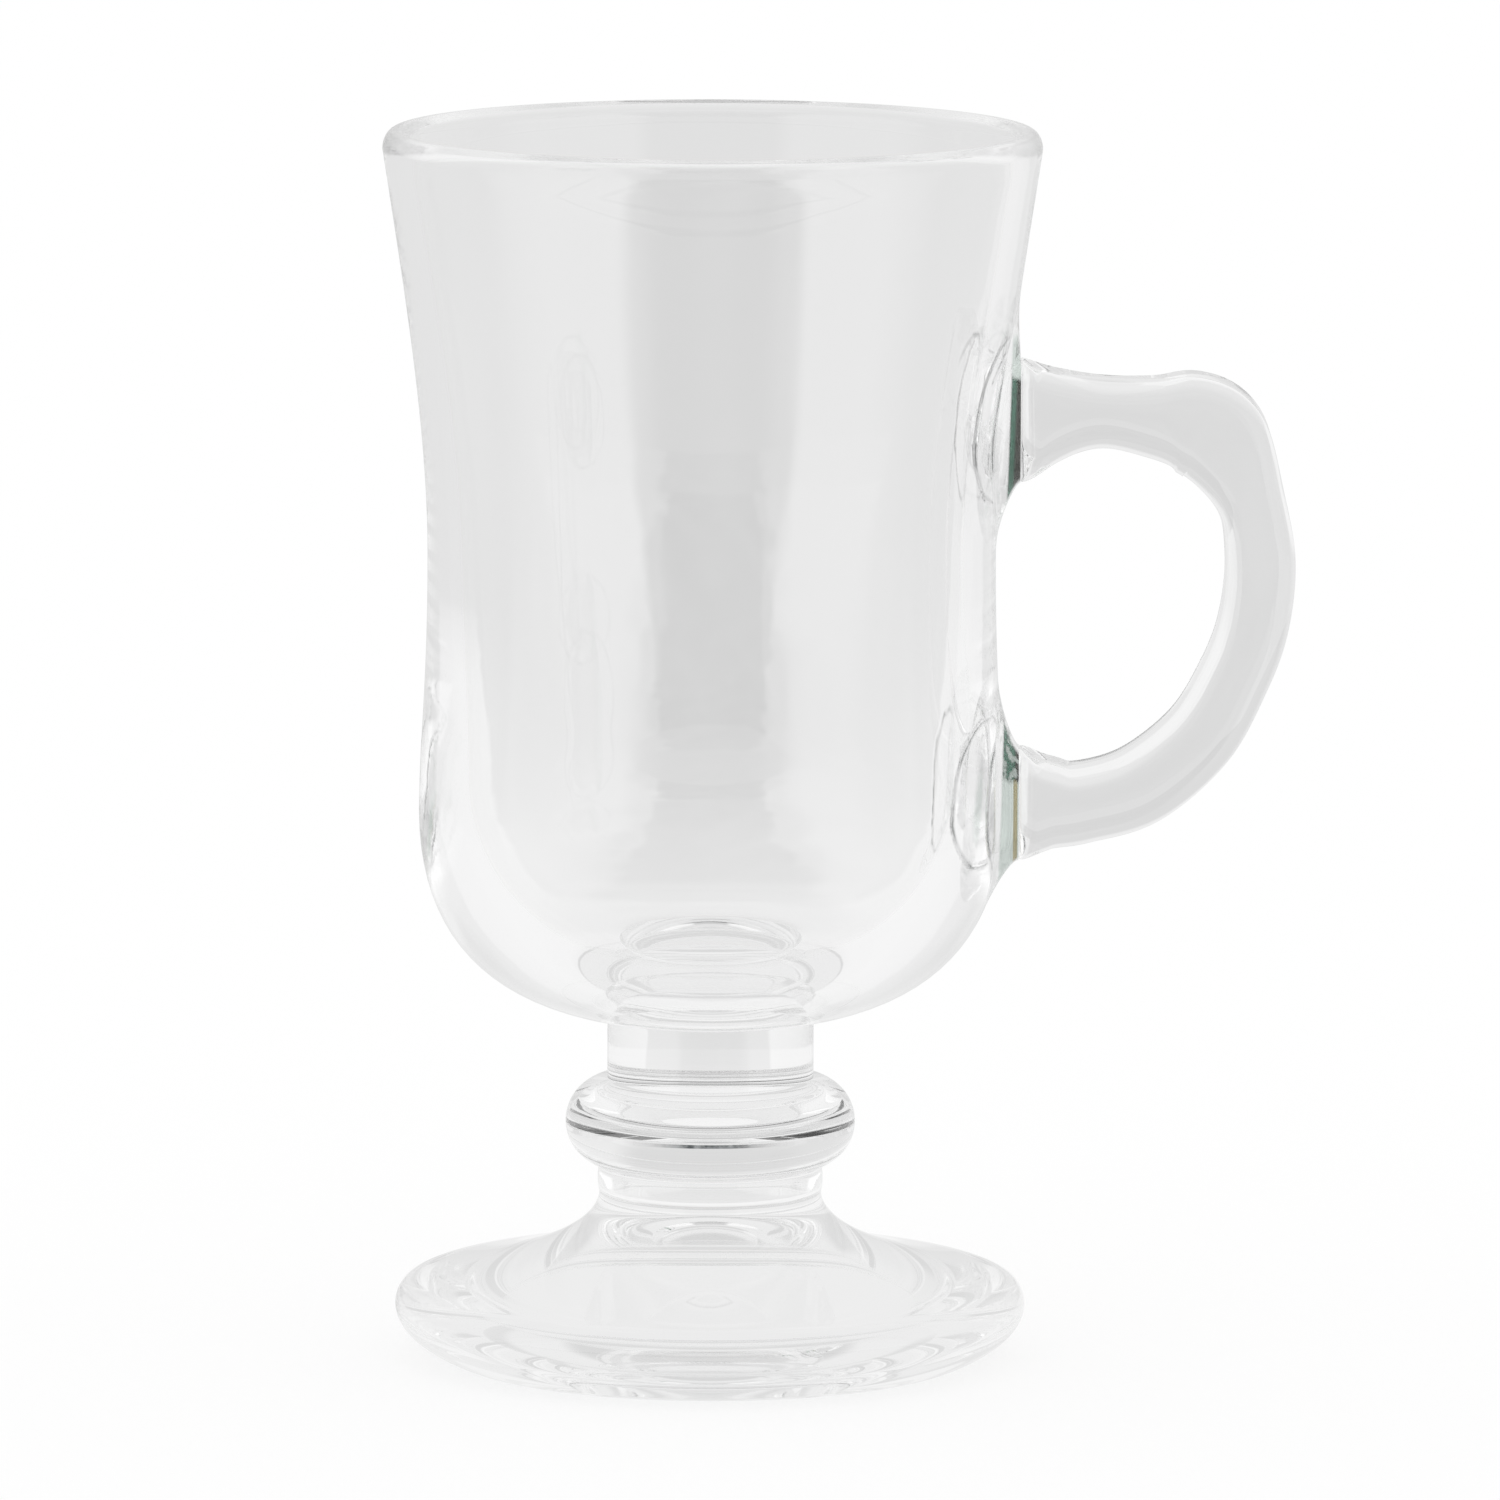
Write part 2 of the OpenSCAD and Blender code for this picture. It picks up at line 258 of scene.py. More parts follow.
# painted shade on the rough line under the knop's seam
seamShadeLook = {
    "dark": "#262A2C",
    "pale": "#8C9092",
    "mottle": 1.0,          # mm between the blotches
    "fadeFrom": 2.5,        # mm aside from the middle of the front
    "fadeTo": 8.5,
    "roughness": 0.2,
}


def clearGlass():
    # fire-polished soda-lime glass: clear and glossy, with soft waves that bend what is behind it
    material, tree = newMaterial("fire-polished soda-lime glass")
    look = glassLook
    place = addNode(tree, "TexCoord").outputs["Object"]
    wave = addNode(tree, "TexNoise", {"Vector": place, "Scale": 1 / (look["waveWidth"] * mm), "Detail": 1.0})
    bump = addNode(tree, "Bump", {"Strength": 1.0, "Distance": look["stemWaveDepth"] * mm, "Height": wave})
    shader = addNode(tree, "BsdfPrincipled", {
        "Base Color": hexColour(look["clear"]), "Roughness": 0.0, "IOR": look["ior"],
        "Transmission Weight": 1.0, "Normal": bump})
    addNode(tree, "OutputMaterial", {"Surface": shader})
    return material


def weldMarksAndShadeLine(tree, place, axes):
    # height of the marks under each end of the handle, a wrinkled oval in a groove, and a grey line of
    # painted shade along its edge
    look = weldLook
    wrinkle = addNode(tree, "TexNoise", {
        "Vector": place, "Scale": 1 / (look["wrinkleWidth"] * mm), "Detail": 2.0})
    wobble = addNode(tree, "Math", {0: wrinkle, 1: 0.5}, operation="SUBTRACT")
    wobble = addNode(tree, "Math", {0: wobble, 1: look["uneven"]}, operation="MULTIPLY")
    height = 0.0
    outline = 0.0
    for weldZ, own in ((upperZ, upperWeldLook), (lowerZ, lowerWeldLook)):
        across = addNode(tree, "Math", {0: axes["Y"], 1: 1 / (own["halfY"] * mm)}, operation="MULTIPLY")
        above = addNode(tree, "Math", {0: axes["Z"], 1: weldZ * mm}, operation="SUBTRACT")
        along = addNode(tree, "Math", {0: above, 1: 1 / (look["halfZ"] * mm)}, operation="MULTIPLY")
        spot = addNode(tree, "CombineXYZ", {"X": across, "Y": along})
        off = addNode(tree, "VectorMath", {0: spot}, operation="LENGTH")
        off = addNode(tree, "Math", {0: off, 1: wobble}, operation="ADD")
        inside = addNode(tree, "MapRange", {0: off, 1: look["wrinkleEdge"], 2: 1.0, 3: 1.0, 4: 0.0},
                         interpolation_type="SMOOTHSTEP")
        fromEdge = addNode(tree, "Math", {0: off, 1: 1.0}, operation="SUBTRACT")
        fromEdge = addNode(tree, "Math", {0: fromEdge}, operation="ABSOLUTE")
        groove = addNode(tree, "MapRange", {
            0: fromEdge, 1: 0.0, 2: look["grooveWidth"], 3: -look["grooveDepth"], 4: 0.0},
            interpolation_type="SMOOTHSTEP")
        folds = addNode(tree, "Math", {0: inside, 1: wrinkle}, operation="MULTIPLY")
        folds = addNode(tree, "Math", {0: folds, 1: look["wrinkleDepth"]}, operation="MULTIPLY")
        mark = addNode(tree, "Math", {0: folds, 1: groove}, operation="ADD")
        height = addNode(tree, "Math", {0: height, 1: mark}, operation="ADD")
        # painted shade: a grey line along the oval's edge
        line = addNode(tree, "MapRange", {
            0: fromEdge, 1: 0.0, 2: look["shadeLineWidth"] / look["halfZ"], 3: 1.0, 4: 0.0},
            interpolation_type="SMOOTHSTEP")
        outline = addNode(tree, "Math", {0: outline, 1: line}, operation="ADD")
    # only on the outer wall, on the handle's side
    flat = addNode(tree, "CombineXYZ", {"X": axes["X"], "Y": axes["Y"]})
    reach = addNode(tree, "VectorMath", {0: flat}, operation="LENGTH")
    outerR = addNode(tree, "MapRange", {0: reach, 1: look["outerR"][0] * mm, 2: look["outerR"][1] * mm},
                     interpolation_type="SMOOTHSTEP")
    outerX = addNode(tree, "MapRange", {0: axes["X"], 1: look["outerX"][0] * mm, 2: look["outerX"][1] * mm},
                     interpolation_type="SMOOTHSTEP")
    outer = addNode(tree, "Math", {0: outerR, 1: outerX}, operation="MULTIPLY")
    patchy = addNode(tree, "MapRange", {0: wrinkle, 1: 0.4, 2: 0.6, 3: 1.0, 4: look["shadeLineFaint"]},
                     interpolation_type="SMOOTHSTEP")
    outline = addNode(tree, "Math", {0: outline, 1: patchy}, operation="MULTIPLY")
    height = addNode(tree, "Math", {0: height, 1: outer}, operation="MULTIPLY")
    outline = addNode(tree, "Math", {0: outline, 1: outer}, operation="MULTIPLY")
    return height, outline


def bowlGlass():
    # pressed soda-lime glass: faint upright streaks from the plunger, soft waves, and the marks of the welds,
    # each edged with a grey line of painted shade
    material, tree = newMaterial("pressed soda-lime glass")
    look = glassLook
    place = addNode(tree, "TexCoord").outputs["Object"]
    axes = addNode(tree, "SeparateXYZ", {0: place}).outputs
    turn = addNode(tree, "Math", {0: axes["Y"], 1: axes["X"]}, operation="ARCTAN2")
    around = addNode(tree, "Math", {0: turn, 1: look["streakR"] / look["streakWidth"]}, operation="MULTIPLY")
    upward = addNode(tree, "Math", {0: axes["Z"], 1: 1 / (look["streakLength"] * mm)}, operation="MULTIPLY")
    streakPlace = addNode(tree, "CombineXYZ", {"X": around, "Y": upward})
    streak = addNode(tree, "TexNoise", {"Vector": streakPlace, "Scale": 1.0, "Detail": 2.0})
    wave = addNode(tree, "TexNoise", {"Vector": place, "Scale": 1 / (look["waveWidth"] * mm), "Detail": 1.0})
    bump = addNode(tree, "Bump", {"Strength": 1.0, "Distance": look["streakDepth"] * mm, "Height": streak})
    bump = addNode(tree, "Bump", {
        "Strength": 1.0, "Distance": look["waveDepth"] * mm, "Height": wave, "Normal": bump})
    marks, outline = weldMarksAndShadeLine(tree, place, axes)
    bump = addNode(tree, "Bump", {"Strength": 1.0, "Distance": mm, "Height": marks, "Normal": bump})
    # the grey line of painted shade round each weld
    tint = addNode(tree, "Mix", {
        0: outline, 6: hexColour(look["clear"]), 7: hexColour(weldLook["outline"])}, data_type="RGBA")
    shader = addNode(tree, "BsdfPrincipled", {
        "Base Color": tint, "Roughness": 0.0, "IOR": look["ior"], "Transmission Weight": 1.0, "Normal": bump})
    addNode(tree, "OutputMaterial", {"Surface": shader})
    return material


def weldGlassWithShade(name, weldZ, own):
    # hot-welded soda-lime glass: clear where it spreads on the wall, bottle green beside the handle, with
    # painted shade that goes nearly black by the handle and grey past the green stretch
    material, tree = newMaterial(name)
    look = weldLook
    place = addNode(tree, "TexCoord").outputs["Object"]
    axes = addNode(tree, "SeparateXYZ", {0: place}).outputs
    mottle = addNode(tree, "TexNoise", {"Vector": place, "Scale": 1 / (look["mottle"] * mm), "Detail": 2.0})
    blotch = addNode(tree, "TexNoise", {"Vector": place, "Scale": 1 / (look["blotch"] * mm), "Detail": 1.0})
    inNeck = addNode(tree, "Math", {0: rootX * mm, 1: axes["X"]}, operation="SUBTRACT")
    above = addNode(tree, "Math", {0: axes["Z"], 1: weldZ * mm}, operation="SUBTRACT")
    lean = addNode(tree, "Math", {0: above, 1: look["lean"]}, operation="MULTIPLY")
    leaning = addNode(tree, "Math", {0: inNeck, 1: lean}, operation="ADD")
    # green by the wall, and painted shade, nearly black, by the handle
    shadeSide = addNode(tree, "MapRange", {
        0: leaning, 1: look["shadeSide"][0] * mm, 2: look["shadeSide"][1] * mm, 3: 1.0, 4: 0.0},
        interpolation_type="SMOOTHSTEP")
    green = addNode(tree, "Mix", {0: shadeSide, 6: hexColour(look["green"]), 7: hexColour(look["dark"])},
                    data_type="RGBA")
    patchy = addNode(tree, "MapRange", {0: blotch, 1: 0.5, 2: 0.7, 3: 0.0, 4: own["blotchy"]},
                     interpolation_type="SMOOTHSTEP")
    green = addNode(tree, "Mix", {0: patchy, 6: green, 7: hexColour(look["pale"])}, data_type="RGBA")
    # grey painted shade past the ends of that stretch, with a thin streak beside the handle
    streakFrom, streakEdge = look["streakFrom"], look["streakEdge"]
    streakTo = streakFrom + look["streakWidth"]
    pastStart = addNode(tree, "MapRange", {0: inNeck, 1: streakFrom * mm, 2: (streakFrom + streakEdge) * mm},
                        interpolation_type="SMOOTHSTEP")
    beforeEnd = addNode(tree, "MapRange", {
        0: inNeck, 1: (streakTo - streakEdge) * mm, 2: streakTo * mm, 3: 1.0, 4: 0.0},
        interpolation_type="SMOOTHSTEP")
    streak = addNode(tree, "Math", {0: pastStart, 1: beforeEnd}, operation="MULTIPLY")
    rest = addNode(tree, "Mix", {0: streak, 6: hexColour(look["pale"]), 7: hexColour(own["streak"])},
                   data_type="RGBA")
    ragged = addNode(tree, "Math", {0: mottle, 1: 0.5}, operation="SUBTRACT")
    ragged = addNode(tree, "Math", {0: ragged, 1: look["ragged"] * mm}, operation="MULTIPLY")
    height = addNode(tree, "Math", {0: above, 1: ragged}, operation="ADD")
    slant = addNode(tree, "Math", {0: inNeck, 1: -look["slant"]}, operation="MULTIPLY")
    height = addNode(tree, "Math", {0: height, 1: slant}, operation="ADD")
    darkFrom, darkTo, fade = own["darkFrom"], own["darkTo"], look["endFade"]
    overLow = addNode(tree, "MapRange", {0: height, 1: darkFrom * mm, 2: (darkFrom + fade) * mm},
                      interpolation_type="SMOOTHSTEP")
    underHigh = addNode(tree, "MapRange", {
        0: height, 1: (darkTo - fade) * mm, 2: darkTo * mm, 3: 1.0, 4: 0.0},
        interpolation_type="SMOOTHSTEP")
    inDark = addNode(tree, "Math", {0: overLow, 1: underHigh}, operation="MULTIPLY")
    neck = addNode(tree, "Mix", {0: inDark, 6: rest, 7: green}, data_type="RGBA")
    # clear on the end face, on the wall, on the back flank, and far above and below
    neckX, neckEdge = own["neck"], look["neckEdge"]
    offEnd = addNode(tree, "MapRange", {0: inNeck, 1: look["tintFrom"][0] * mm, 2: look["tintFrom"][1] * mm},
                     interpolation_type="SMOOTHSTEP")
    offWall = addNode(tree, "MapRange", {
        0: leaning, 1: (neckX - neckEdge) * mm, 2: neckX * mm, 3: 1.0, 4: 0.0},
        interpolation_type="SMOOTHSTEP")
    tinted = addNode(tree, "Math", {0: offEnd, 1: offWall}, operation="MULTIPLY")
    flank = addNode(tree, "MapRange", {
        0: axes["Y"], 1: look["flankY"][0] * mm, 2: look["flankY"][1] * mm, 3: 1.0, 4: 0.0},
        interpolation_type="SMOOTHSTEP")
    level = addNode(tree, "Math", {0: above}, operation="ABSOLUTE")
    level = addNode(tree, "MapRange", {
        0: level, 1: look["farZ"][0] * mm, 2: look["farZ"][1] * mm, 3: 1.0, 4: 0.0},
        interpolation_type="SMOOTHSTEP")
    nearby = addNode(tree, "Math", {0: flank, 1: level}, operation="MULTIPLY")
    tinted = addNode(tree, "Math", {0: tinted, 1: nearby}, operation="MULTIPLY")
    tint = addNode(tree, "Mix", {0: tinted, 6: hexColour(glassLook["clear"]), 7: neck}, data_type="RGBA")
    shader = addNode(tree, "BsdfPrincipled", {
        "Base Color": tint, "Roughness": 0.0, "IOR": glassLook["ior"], "Transmission Weight": 1.0})
    addNode(tree, "OutputMaterial", {"Surface": shader})
    return material


def seamShadeGlass():
    # rough, unpolished glass where the mould seam shows most, with painted shade: mottled grey that fades
    # towards both sides
    material, tree = newMaterial("unpolished mould seam with painted shade")
    look = seamShadeLook
    place = addNode(tree, "TexCoord").outputs["Object"]
    axes = addNode(tree, "SeparateXYZ", {0: place}).outputs
    mottle = addNode(tree, "TexNoise", {"Vector": place, "Scale": 1 / (look["mottle"] * mm), "Detail": 3.0})
    patchy = addNode(tree, "MapRange", {0: mottle, 1: 0.35, 2: 0.65}, interpolation_type="SMOOTHSTEP")
    grey = addNode(tree, "Mix", {0: patchy, 6: hexColour(look["dark"]), 7: hexColour(look["pale"])},
                   data_type="RGBA")
    aside = addNode(tree, "Math", {0: axes["X"]}, operation="ABSOLUTE")
    middle = addNode(tree, "MapRange", {
        0: aside, 1: look["fadeFrom"] * mm, 2: look["fadeTo"] * mm, 3: 1.0, 4: 0.0},
        interpolation_type="SMOOTHSTEP")
    tint = addNode(tree, "Mix", {0: middle, 6: hexColour(glassLook["clear"]), 7: grey}, data_type="RGBA")
    shader = addNode(tree, "BsdfPrincipled", {
        "Base Color": tint, "Roughness": look["roughness"], "IOR": glassLook["ior"],
        "Transmission Weight": 1.0})
    addNode(tree, "OutputMaterial", {"Surface": shader})
    return material


def fusedFace():
    # no surface is left where two pieces of glass have run together
    material, tree = newMaterial("fused glass joint")
    passing = addNode(tree, "BsdfTransparent", {"Color": (1, 1, 1, 1)})
    addNode(tree, "OutputMaterial", {"Surface": passing})
    return material


clear = clearGlass()
bowlClear = bowlGlass()
upperWeld = weldGlassWithShade("hot-welded soda-lime glass, upper", upperZ, upperWeldLook)
lowerWeld = weldGlassWithShade("hot-welded soda-lime glass, lower", lowerZ, lowerWeldLook)
seam = seamShadeGlass()
fused = fusedFace()
print("materials made")


# bowl: a flared cup, thick at the bottom (sizes in mm)

bowlShape = {
    "waistR": 32.9,
    "waistUp": 54,          # heights above the underside of the bowl
    "bellyR": 33.9,
    "bellyUp": 24,
    "baseR": 13.5,
    "lipT": 3.1,
    "rimDrop": 2.2,
    "lean": (2.2, 14.5),
    "wallT": 3.9,
    "draft": 0.5,
    "inset": 4,
    "floorT": 6.0,
    "floorR": 8,
    # how far the curves' handles reach
    "basePull": (0.59, 0.09),
    "bellyPull": (0.62, 0.27),      # below and above
    "waistPull": (0.52, 0.32),
    "insideWaistPull": 0.36,
    "insideBellyPull": 0.68,
    "floorPull": 0.55,
    "wallSteps": 6,
    "lipSteps": 20,
    "sides": 288,
}
curveSteps = 20

rimZ = bowlHigh.z - bowlShape["rimDrop"]


def bowlOutside(shape):
    belly = (shape["bellyR"], bowlZ + shape["bellyUp"])
    waist = (shape["waistR"], bowlZ + shape["waistUp"])
    between = shape["waistUp"] - shape["bellyUp"]
    base = (shape["baseR"], bowlZ)
    bulge = shape["bellyR"] - shape["baseR"]
    baseR, baseZ = shape["basePull"]
    bellyBelow, bellyAbove = shape["bellyPull"]
    waistBelow, waistAbove = shape["waistPull"]
    return (
        curvePoints(base, (base[0] + baseR * bulge, bowlZ + baseZ * shape["bellyUp"]),
                    (belly[0], belly[1] - bellyBelow * shape["bellyUp"]), belly, curveSteps)
        + curvePoints(belly, (belly[0], belly[1] + bellyAbove * between),
                      (waist[0], waist[1] - waistBelow * between), waist, curveSteps)
        + curvePoints(waist, (waist[0], waist[1] + waistAbove * (rimZ - waist[1])),
                      (rimR - shape["lean"][0], rimZ - shape["lean"][1]), (rimR, rimZ), curveSteps))


def bowlInside(shape):
    rim = (rimR - shape["lipT"], rimZ)
    waist = (shape["waistR"] - shape["wallT"], bowlZ + shape["waistUp"] - shape["inset"])
    belly = (waist[0] - shape["draft"], bowlZ + shape["bellyUp"] + shape["inset"])
    floor = (shape["floorR"], bowlZ + shape["floorT"])
    return (
        curvePoints(rim, (rim[0] - shape["lean"][0], rim[1] - shape["lean"][1]),
                    (waist[0], waist[1] + shape["insideWaistPull"] * (rimZ - waist[1])), waist, curveSteps)
        + curvePoints(waist, waist, belly, belly, shape["wallSteps"])
        + curvePoints(belly, (belly[0], belly[1] - shape["insideBellyPull"] * (belly[1] - floor[1])),
                      (floor[0] + shape["floorPull"] * (belly[0] - floor[0]), floor[1]), floor, curveSteps)
        + [floor, (floor[0] / 2, floor[1]), (0, floor[1])])


outside = bowlOutside(bowlShape)
lipMid = (rimR - bowlShape["lipT"] / 2, rimZ)
lip = arcPoints(lipMid, bowlShape["lipT"] / 2, bowlShape["rimDrop"], 0, 180, bowlShape["lipSteps"])
bowlOutline = [(0, bowlZ), (collarR, bowlZ)] + outside + lip[:-1] + bowlInside(bowlShape)
bowl = spinPiece("bowl_glass", bowlOutline, bowlShape["sides"])
markFaces(bowl, 1, lambda face: face.center.z < (bowlZ + touch) * mm and face.center.xy.length < collarR * mm)
finishPiece(bowl, "bowl", [bowlClear, fused])


# stem: a straight collar on a round knop, whose two halves meet in a seam

knopShape = {
    "edgeR": 5.2,
    "edgeSteps": 24,
    "seamD": 0.25,
    "seamW": 0.12,
    "seamLine": 0.42,       # height of a rough line of painted shade under it, in the middle of the front
    "seamLineX": 9.0,
    "weldR": 12.2,          # the knop and the foot have run together up to here
    "collarSteps": 6,
}

knopLow, knopHigh = (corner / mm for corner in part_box("knop_upper"))
seamZ, knopR = knopLow.z, knopHigh.y
coreR = knopR - knopShape["edgeR"]


def knopRise(r):
    # height of the knop above its seam at a radius
    return math.sqrt(knopShape["edgeR"] ** 2 - (r - coreR) ** 2)


collarZ = seamZ + knopRise(collarR)
collarSteps = knopShape["collarSteps"]
collarSide = [(collarR, collarZ + (bowlZ - collarZ) * k / collarSteps) for k in range(collarSteps + 1)]
collar = spinPiece("collar_glass", [(0, collarZ)] + collarSide + [(0, bowlZ)])
markFaces(collar, 1, isLevel)
finishPiece(collar, "stem_collar", [clear, fused])


def knopHalf(name, node, up, weldR):
    edgeR, seamW, seamLine = knopShape["edgeR"], knopShape["seamW"], knopShape["seamLine"]
    startDeg = math.degrees(math.asin(seamW / edgeR))
    lineDeg = math.degrees(math.asin((seamW + seamLine) / edgeR))
    endDeg = math.degrees(math.acos((weldR - coreR) / edgeR))
    edge = arcPoints((coreR, 0), edgeR, edgeR, startDeg, lineDeg, 1)[:1]
    edge += arcPoints((coreR, 0), edgeR, edgeR, lineDeg, endDeg, knopShape["edgeSteps"])
    outline = [(0, 0), (knopR - knopShape["seamD"], 0)] + edge + [(0, knopRise(weldR))]
    half = spinPiece(name, [(r, seamZ + up * z) for r, z in outline])
    weldZ = seamZ + up * knopRise(weldR)
    lineTop, lineEnd = seamZ - seamW, seamZ - seamW - seamLine

    def isFused(face):
        # the flat discs at both ends
        offWeld, offSeam = abs(face.center.z - weldZ * mm), abs(face.center.z - seamZ * mm)
        return isLevel(face) and face.center.xy.length < weldR * mm and min(offWeld, offSeam) < touch * mm

    def isLine(face):
        inFront = abs(face.center.x) < knopShape["seamLineX"] * mm and face.center.y < 0
        return inFront and isUpright(face) and lineEnd * mm < face.center.z < lineTop * mm

    markFaces(half, 1, isFused)
    # the rough line at the front takes the painted shade
    markFaces(half, 2, isLine)
    finishPiece(half, node, [clear, fused, seam])


knopHalf("upper_knop_glass", "knop_upper", 1, collarR)
knopHalf("lower_knop_glass", "knop_lower", -1, knopShape["weldR"])


# foot: a neck ring that flares out to a round edge, hollow underneath

footShape = {
    "neckR": 12.9,
    "ringH": 3.0,           # a ring round the neck, just under the knop
    "ringD": 0.2,
    "edgeZ": 6.0,
    "brimZ": 9.1,
    "brimR": 34.3,
    "standR": 30.5,
    "standW": 3.5,
    "hollowH": 16.0,
    # how far the curves' handles reach
    "neckPull": 0.36,
    "slopePull": (0.3, 0.245),
    "brimPull": (0.6, 0.1),
    "edgePull": (0.5, 0.65),        # above and below
    "standPull": (0.66, 0.27),
    "hollowPull": (0.94, 0.25, 0.3),
    "edgeSteps": 12,
}

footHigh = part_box("foot")[1] / mm
footH, footR = footHigh.z, footHigh.y


def footOutline(shape):
    neckR, ringH = shape["neckR"], shape["ringH"]
    neckZ = footH - ringH
    fall = neckZ - shape["brimZ"]
    brim = (shape["brimR"], shape["brimZ"])
    edge = (footR, shape["edgeZ"])
    stand = (shape["standR"], 0)
    hollowR, hollowH = shape["standR"] - shape["standW"], shape["hollowH"]
    weldR, weldZ = knopShape["weldR"], seamZ - knopRise(knopShape["weldR"])
    slopeR, slopeZ = shape["slopePull"]
    brimR, brimZ = shape["brimPull"]
    edgeAbove, edgeBelow = shape["edgePull"]
    standR, standZ = shape["standPull"]
    wallR, wallZ, topR = shape["hollowPull"]
    steps = shape["edgeSteps"]
    return (
        [(0, weldZ), (weldR, weldZ), (weldR, footH)]
        + arcPoints((neckR, footH - ringH / 2), shape["ringD"], ringH / 2, 90, -90, steps)[:-1]
        + curvePoints((neckR, neckZ), (neckR, neckZ - shape["neckPull"] * fall),
                      (neckR + slopeR * (brim[0] - neckR), brim[1] + slopeZ * fall), brim, curveSteps)
        + curvePoints(brim, (brim[0] + brimR * (footR - brim[0]), brim[1] - brimZ * (brim[1] - edge[1])),
                      (footR, edge[1] + edgeAbove * (brim[1] - edge[1])), edge, steps)
        + curvePoints(edge, (footR, edgeBelow * edge[1]),
                      (stand[0] + standR * (footR - stand[0]), standZ * edge[1]), stand, steps)
        + [stand]
        + curvePoints((hollowR, 0), (wallR * hollowR, wallZ * hollowH), (topR * hollowR, hollowH),
                      (0, hollowH), curveSteps)
        + [(0, hollowH)])


foot = spinPiece("foot_glass", footOutline(footShape))
markFaces(foot, 1, lambda face: face.center.z > (footH + touch) * mm and isLevel(face))
finishPiece(foot, "foot", [clear, fused])


# handle: an ear-shaped bar with rounded edges and a thumb rest

handleShape = {
    "reach": 31.8,
    "depth": 11.5,
    "edgeR": 2.4,
    "endR": 2.0,
    "roundest": 0.49,       # largest corner, as a share of the section
    "upperRootT": 14.4,
    "saddleT": 7.8,
    "thumbT": 11.5,
    "gripT": 8.0,
    "lowerArmT": 8.8,
    "lowerRootT": 13.2,
    "lineSteps": 8,
    "endSteps": 24,
    "cornerSteps": 7,
}


def handleStations(s):
    # share of the reach, share of the height between the roots, thickness
    return [
        (0, 1, s["upperRootT"]),
        (0.16, 1.018, (s["upperRootT"] + 2 * s["saddleT"]) / 3),
        (0.345, 1.022, s["saddleT"]),
        (0.555, 1.009, (2 * s["saddleT"] + s["thumbT"]) / 3),
        (0.71, 0.995, s["thumbT"]),
        (0.835, 0.945, s["thumbT"]),
        (0.955, 0.8, s["gripT"]),
        (1, 0.637, s["gripT"]),
        (0.973, 0.472, s["gripT"]),
        (0.892, 0.331, s["gripT"]),
        (0.747, 0.175, (s["gripT"] + s["lowerArmT"]) / 2),
        (0.506, 0.049, s["lowerArmT"]),
        (0.26, 0.002, s["lowerArmT"]),
        (0.12, 0, (s["lowerRootT"] + 2 * s["lowerArmT"]) / 3),
        (0, 0, s["lowerRootT"]),
    ]


def handleLine(shape):
    # a smooth line through the stations: x, z and thickness
    lineX = shape["reach"] - shape["gripT"] / 2
    places = []
    for shareX, shareZ, thickness in handleStations(shape):
        places.append(Vector((rootX + shareX * lineX, lowerZ + shareZ * (upperZ - lowerZ), thickness)))
    first, last = places[1].copy(), places[-2].copy()
    first.x, first.z = 2 * rootX - first.x, 2 * places[0].z - first.z
    last.x, last.z = 2 * rootX - last.x, 2 * places[-1].z - last.z
    places = [first] + places + [last]
    lastSpan = len(places) - 4
    line = []
    for span, (p, a, b, q) in enumerate(zip(places, places[1:], places[2:], places[3:])):
        steps = shape["endSteps"] if span in (0, lastSpan) else shape["lineSteps"]
        for k in range(steps):
            t = k / steps
            # shorter steps towards the ends, which are rounded
            if span == 0:
                t = t * t
            elif span == lastSpan:
                t = 1 - (1 - t) ** 2
            line.append(0.5 * (2 * a + (b - p) * t + (2 * p - 5 * a + 4 * b - q) * t * t
                               + (3 * a - p - 3 * b + q) * t * t * t))
    return line + [places[-2]]


def handleRing(shape, x, z, acrossX, acrossZ, thickness, inset):
    # a rounded rectangle across the handle
    depth, steps = shape["depth"] - 2 * inset, shape["cornerSteps"]
    r = min(shape["edgeR"] + inset, shape["roundest"] * depth, shape["roundest"] * thickness)
    ring = []
    for signT, signD, fromDeg in ((1, 1, 0), (-1, 1, 90), (-1, -1, 180), (1, -1, 270)):
        for k in range(steps + 1):
            a = math.radians(fromDeg + 90 * k / steps)
            t = signT * (thickness / 2 - r) + r * math.cos(a)
            y = signD * (depth / 2 - r) + r * math.sin(a)
            ring.append(Vector((x + acrossX * t, y, z + acrossZ * t)) * mm)
    return ring


def handleRings(shape):
    line = handleLine(shape)
    runs = [(after - before).xy.normalized() for before, after in zip(line, line[2:])]
    runs = [Vector((1, 0))] + runs + [Vector((-1, 0))]
    steps = shape["endSteps"]
    rings = []
    for i, here in enumerate(line):
        # towards each root the sections turn evenly to upright
        run = runs[i]
        if i < steps:
            run = runs[0].lerp(runs[steps], (i / steps) ** 2).normalized()
        elif i > len(line) - 1 - steps:
            run = runs[-1].lerp(runs[-1 - steps], ((len(line) - 1 - i) / steps) ** 2).normalized()
        # the front and back edges of the ends are rounded
        inwards = max(shape["endR"] - (here.x - rootX), 0)
        inset = shape["endR"] - math.sqrt(shape["endR"] ** 2 - inwards ** 2)
        rings.append(handleRing(shape, here.x, here.y, -run.y, run.x, here.z, inset))
    return rings


handle = ringPiece("handle_glass", handleRings(handleShape))
finishPiece(handle, "handle", [clear], evenNormals=True)


# pads: the necks of glass between the wall and the handle's ends

padShape = {
    "spreadZ": 7.5,
    "wallY": 8.5,
    "endPull": 0.3,
    "endLift": 0.05,
    "wallPull": 0.35,
    "gap": 0.02,            # a film of air that the weld traps
    "sides": 96,
    "sweepSteps": 24,
    "faceSteps": 12,
}


